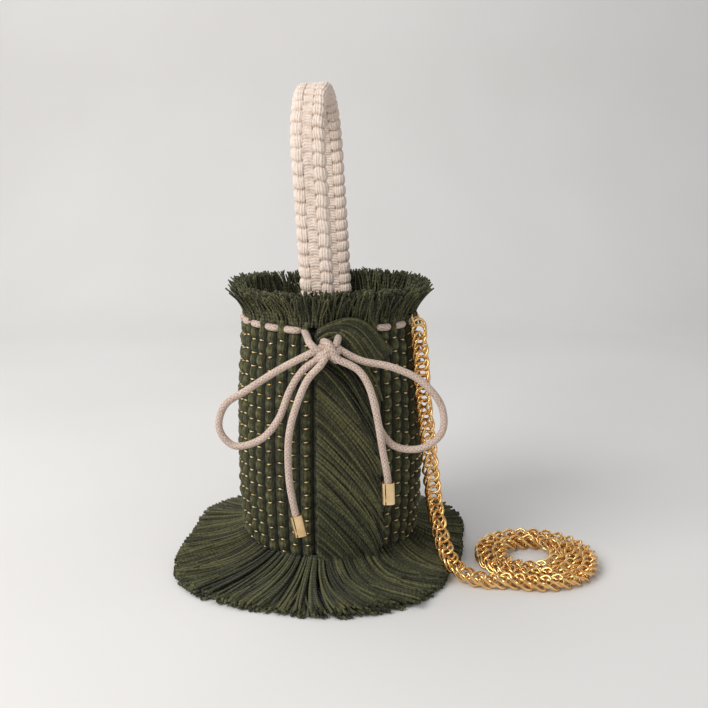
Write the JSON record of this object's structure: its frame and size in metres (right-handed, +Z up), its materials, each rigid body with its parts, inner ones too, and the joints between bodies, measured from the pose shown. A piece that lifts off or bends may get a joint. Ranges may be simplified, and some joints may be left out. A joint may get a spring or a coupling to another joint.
{
  "type": "fringed bucket bag",
  "caption": "Woven bucket handbag with yarn fringe at rim, front and base, knotted arched handle, bow drawstring and curb-chain strap coiled beside it.",
  "frame": {"origin": "centre of the round base on the floor", "axes": "+Z up, the front with the bow faces -Y, +X to the right towards the chain"},
  "size_m": [0.3487, 0.2639, 0.3892],
  "materials": {
    "wool": "chunky dark olive wool weave",
    "fringe": "dark olive twisted yarn",
    "gold_thread": "fine metallic thread",
    "cotton": "cream knotted cotton",
    "cord": "pinkish beige braided cord",
    "lining": "plain woven lining",
    "board": "plain stiff sheet",
    "gold": "polished gold plate",
    "pale_gold": "satin light gold plate"
  },
  "bodies": {
    "bag": {"woven_body": "wool", "gold_thread": "gold_thread", "base_panel": "wool", "base_stiffener": "board", "lining": "lining", "rim_binding": "lining", "top_fringe": "fringe", "base_fringe": "fringe", "front_fringe": "fringe", "drawstring": "cord", "bow_knot": "cord", "handle_end_front": "cotton", "handle_end_back": "cotton", "ring_tab_right": "wool", "ring_tab_left": "wool"},
    "handle": {"handle_sinnet": "cotton", "handle_filler_cords": "cotton"},
    "loop_left": {"bow_loop_left": "cord"},
    "loop_right": {"bow_loop_right": "cord"},
    "tail_left": {"bow_tail_left": "cord", "cord_tip_left": "pale_gold"},
    "tail_right": {"bow_tail_right": "cord", "cord_tip_right": "pale_gold"},
    "ring_right": {"side_ring_right": "gold"},
    "ring_left": {"side_ring_left": "gold"},
    "chain_hanging_top": {"chain_upper": "gold"},
    "chain_hanging_bottom": {"chain_lower": "gold"},
    "chain_on_floor": {"chain_coil": "gold", "end_ring": "gold", "clip_ring": "gold", "clip_pin": "gold"},
    "gate": {"clip_gate": "gold"}
  },
  "joints": [
    {"name": "handle_swing", "type": "hinge", "parent": "bag", "child": "handle", "pos_m": [-0.001, 0, 0.216], "axis": [0.1045, 0.9945, 0], "range_deg": [-36, 36]},
    {"name": "loop_left_swing", "type": "hinge", "parent": "bag", "child": "loop_left", "pos_m": [0.0008, -0.0872, 0.1908], "axis": [0, 1, 0], "range_deg": [-25, 30]},
    {"name": "loop_right_swing", "type": "hinge", "parent": "bag", "child": "loop_right", "pos_m": [0.0008, -0.0872, 0.1908], "axis": [0, -1, 0], "range_deg": [-25, 30]},
    {"name": "tail_left_swing", "type": "hinge", "parent": "bag", "child": "tail_left", "pos_m": [0.0008, -0.0872, 0.1908], "axis": [0, 1, 0], "range_deg": [-10, 18]},
    {"name": "tail_right_swing", "type": "hinge", "parent": "bag", "child": "tail_right", "pos_m": [0.0008, -0.0872, 0.1908], "axis": [0, 1, 0], "range_deg": [-18, 10]},
    {"name": "ring_right_swing", "type": "hinge", "parent": "bag", "child": "ring_right", "pos_m": [0.06789, -0.03459, 0.2098], "axis": [-0.454, -0.891, 0], "range_deg": [0, 50]},
    {"name": "ring_left_swing", "type": "hinge", "parent": "bag", "child": "ring_left", "pos_m": [-0.06789, 0.03459, 0.2098], "axis": [0.454, 0.891, 0], "range_deg": [0, 60]},
    {"name": "chain_top_swing", "type": "hinge", "parent": "ring_right", "child": "chain_hanging_top", "pos_m": [0.07119, -0.03627, 0.201], "axis": [-0.454, -0.891, 0], "range_deg": [0, 20]},
    {"name": "chain_elbow", "type": "hinge", "parent": "chain_hanging_top", "child": "chain_hanging_bottom", "pos_m": [0.07981, -0.03987, 0.10872], "axis": [0.0099, -0.9969, 0.0775], "range_deg": [0, 20]},
    {"name": "chain_floor_bend", "type": "hinge", "parent": "chain_hanging_bottom", "child": "chain_on_floor", "pos_m": [0.12923, -0.08546, 0.00517], "axis": [-0.041, -0.9988, -0.0272], "range_deg": [-20, 20]},
    {"name": "clip_gate_swing", "type": "hinge", "parent": "chain_on_floor", "child": "gate", "pos_m": [0.18326, -0.01715, 0.01151], "axis": [0.1111, -0.2531, 0.961], "range_deg": [0, 28]}
  ]
}
